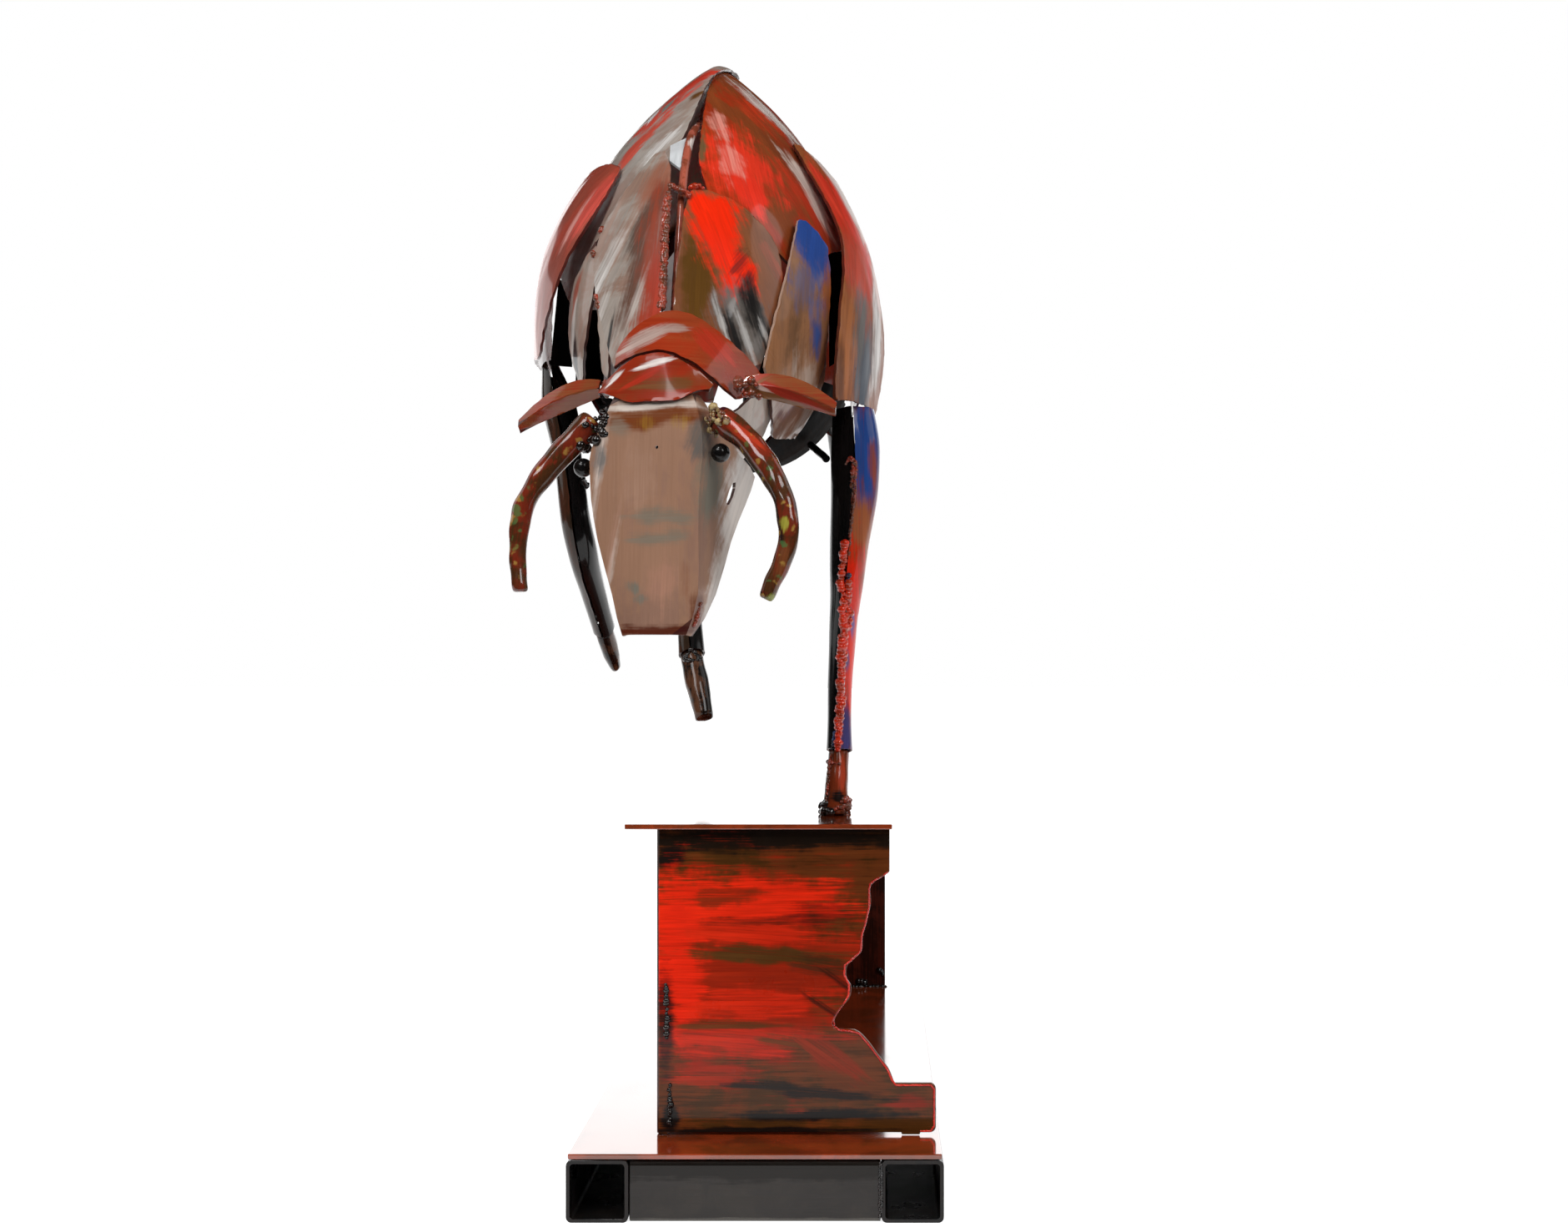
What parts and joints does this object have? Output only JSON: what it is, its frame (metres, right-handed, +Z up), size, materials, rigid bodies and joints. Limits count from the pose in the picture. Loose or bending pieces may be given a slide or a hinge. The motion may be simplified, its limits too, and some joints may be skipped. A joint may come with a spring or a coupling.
{
  "type": "welded steel bull sculpture",
  "caption": "Bull welded from bent steel plates, standing on one foreleg on a box-shaped pedestal of plates over a square-tube base.",
  "frame": {"origin": "middle of the whole sculpture's box, on the ground", "axes": "+Z up; -Y the way the bull faces, along the base's long side; +X to the bull's own left"},
  "size_m": [0.143, 0.4298, 0.4036],
  "materials": {
    "brick_lacquer": "gloss lacquer over steel, brick red with brown",
    "bright_red_lacquer": "gloss lacquer over steel, brushed bright red",
    "brown_lacquer": "gloss lacquer over torch-coloured steel",
    "tan_lacquer": "gloss lacquer, tan brown with grey-blue patches",
    "blue_lacquer": "gloss lacquer, blue with brown",
    "black_lacquer": "gloss black lacquer",
    "dark_steel": "dark lacquer over mill steel"
  },
  "bodies": {
    "root": {"base_tube_left": "black_lacquer", "base_tube_right": "black_lacquer", "base_cross_front": "dark_steel", "base_cross_rear": "dark_steel", "base_plate": "brick_lacquer", "pedestal_front": "bright_red_lacquer", "pedestal_side": "brick_lacquer", "pedestal_back": "brown_lacquer", "pedestal_top": "brick_lacquer", "spine_rod": "black_lacquer", "rib_front_left": "black_lacquer", "rib_front_right": "black_lacquer", "rib_rear_left": "black_lacquer", "rib_rear_right": "black_lacquer", "back_left": "brick_lacquer", "back_right": "brick_lacquer", "flank_left": "brown_lacquer", "flank_right": "brown_lacquer", "rump_left": "brick_lacquer", "rump_right": "brick_lacquer", "belly": "black_lacquer", "thigh_left": "blue_lacquer", "thigh_right": "bright_red_lacquer", "withers_left": "brick_lacquer", "withers_right": "brick_lacquer", "neck_left": "bright_red_lacquer", "neck_right": "tan_lacquer", "petal_blue": "blue_lacquer", "petal_low": "brown_lacquer", "brisket": "tan_lacquer", "petal_outer_right": "tan_lacquer", "petal_inner_right": "tan_lacquer", "shoulder_left": "brick_lacquer", "shoulder_right": "bright_red_lacquer", "collar": "brick_lacquer", "face": "tan_lacquer", "crest": "brick_lacquer", "horn_left": "brown_lacquer", "horn_right": "brown_lacquer", "ear_left": "brick_lacquer", "ear_weld_left": "brick_lacquer", "ear_right": "brick_lacquer", "ear_weld_right": "brick_lacquer", "eye_left": "black_lacquer", "eye_right": "black_lacquer", "fore_left_outer": "blue_lacquer", "fore_left_inner": "black_lacquer", "fore_left_hoof": "brown_lacquer", "fore_right_outer": "brick_lacquer", "fore_right_inner": "black_lacquer", "fore_right_hoof": "brown_lacquer", "hind_left_outer": "brown_lacquer", "hind_left_inner": "black_lacquer", "hind_left_hoof": "brown_lacquer", "hind_right_outer": "black_lacquer", "hind_right_inner": "black_lacquer", "hind_right_hoof": "brown_lacquer", "strut_fore_left": "black_lacquer", "tail": "black_lacquer"}
  },
  "joints": []
}
